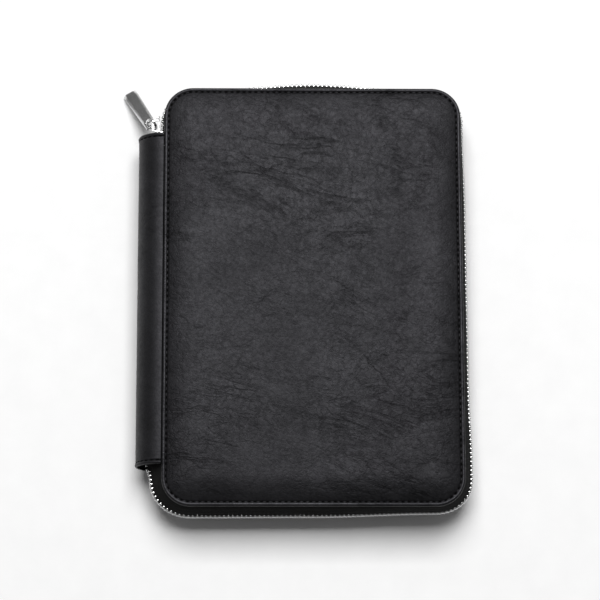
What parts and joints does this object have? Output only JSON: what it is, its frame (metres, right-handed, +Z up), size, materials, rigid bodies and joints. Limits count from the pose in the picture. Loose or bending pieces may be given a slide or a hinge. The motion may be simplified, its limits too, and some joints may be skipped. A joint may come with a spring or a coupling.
{
  "type": "zip-around notepad folder",
  "caption": "Padded zip-around notepad folder with a rounded soft spine, a slider with a link and pull tab, a writing pad in a sleeve, a pen loop and flat pockets.",
  "frame": {"origin": "middle of the back cover's flat outer face, on which the closed notepad lies", "axes": "+X from the spine to the opening edge, +Y to the top edge, +Z up from the back cover to the front cover"},
  "size_m": [0.2059, 0.2627, 0.036],
  "materials": {
    "cover_leather": "soft black faux leather with a fine creased grain, satin",
    "pocket_leather": "thin black faux leather, fine grain",
    "lining": "black woven polyester lining",
    "woven_tape": "black woven tape",
    "foam": "grey foam sheet",
    "greyboard": "grey board",
    "zip_metal": "bright plated zip teeth",
    "pull_metal": "satin chrome plating",
    "paper": "plain off-white writing paper",
    "elastic": "black ribbed elastic"
  },
  "bodies": {
    "back_cover": {"back_cover_skin": "cover_leather", "back_foam_pad": "foam", "back_cover_board": "greyboard", "back_lining": "lining", "back_zip_tape": "woven_tape", "back_zip_teeth": "zip_metal", "back_teeth_corner": "zip_metal", "back_top_stop": "zip_metal", "zip_end_stop": "zip_metal", "pad_backing_board": "greyboard", "paper_block": "paper", "pad_sleeve": "pocket_leather", "pad_binding": "woven_tape", "pen_loop": "elastic"},
    "spine_lower": {"spine_skin_3": "cover_leather", "spine_lining_3": "lining"},
    "spine_middle": {"spine_skin_2": "cover_leather", "spine_lining_2": "lining"},
    "spine_upper": {"spine_skin_1": "cover_leather", "spine_lining_1": "lining"},
    "front_cover": {"front_cover_skin": "cover_leather", "front_foam_pad": "foam", "front_cover_board": "greyboard", "front_lining": "lining", "front_zip_tape": "woven_tape", "front_zip_teeth": "zip_metal", "front_teeth_corner": "zip_metal", "front_top_stop": "zip_metal", "document_pocket": "pocket_leather", "card_pocket_1": "pocket_leather", "card_pocket_2": "pocket_leather", "card_pocket_3": "pocket_leather"},
    "slider": {"slider_body": "pull_metal"},
    "link": {"pull_link": "pull_metal"},
    "tab": {"pull_tab": "pull_metal"}
  },
  "joints": [
    {"name": "cover_open", "type": "hinge", "parent": "back_cover", "child": "spine_middle", "pos_m": [-0.09821, 0, 0.00566], "axis": [0, -1, 0], "range_deg": [0, 90]},
    {"name": "front_turn", "type": "hinge", "parent": "spine_middle", "child": "front_cover", "pos_m": [-0.09821, 0, 0.03034], "axis": [0, -1, 0], "range_deg": [0, 90]},
    {"name": "lower_crease", "type": "hinge", "parent": "back_cover", "child": "spine_lower", "pos_m": [-0.0879, 0, 0.0029], "axis": [0, -1, 0], "range_deg": [0, 30]},
    {"name": "upper_crease", "type": "hinge", "parent": "front_cover", "child": "spine_upper", "pos_m": [-0.0879, 0, 0.0331], "axis": [0, 1, 0], "range_deg": [0, 30]},
    {"name": "slider_run", "type": "hinge", "parent": "back_cover", "child": "slider", "pos_m": [-0.0705, 0.108, 0.018], "axis": [0, 0, 1], "range_deg": [-90, 0], "deforming": ["back_teeth_corner", "front_teeth_corner"]},
    {"name": "link_swing", "type": "hinge", "parent": "slider", "child": "link", "pos_m": [-0.0949, 0.106, 0.018], "axis": [0, 1, 0], "range_deg": [0, 45]},
    {"name": "tab_swing", "type": "hinge", "parent": "link", "child": "tab", "pos_m": [-0.09578, 0.10702, 0.01694], "axis": [0.8591, 0.5098, 0.0467], "range_deg": [0, 30]}
  ],
  "couplings": [
    {"joint": "front_turn", "follows": "cover_open", "ratio": 1},
    {"joint": "lower_crease", "follows": "cover_open", "ratio": 0.33333},
    {"joint": "upper_crease", "follows": "cover_open", "ratio": 0.33333}
  ]
}
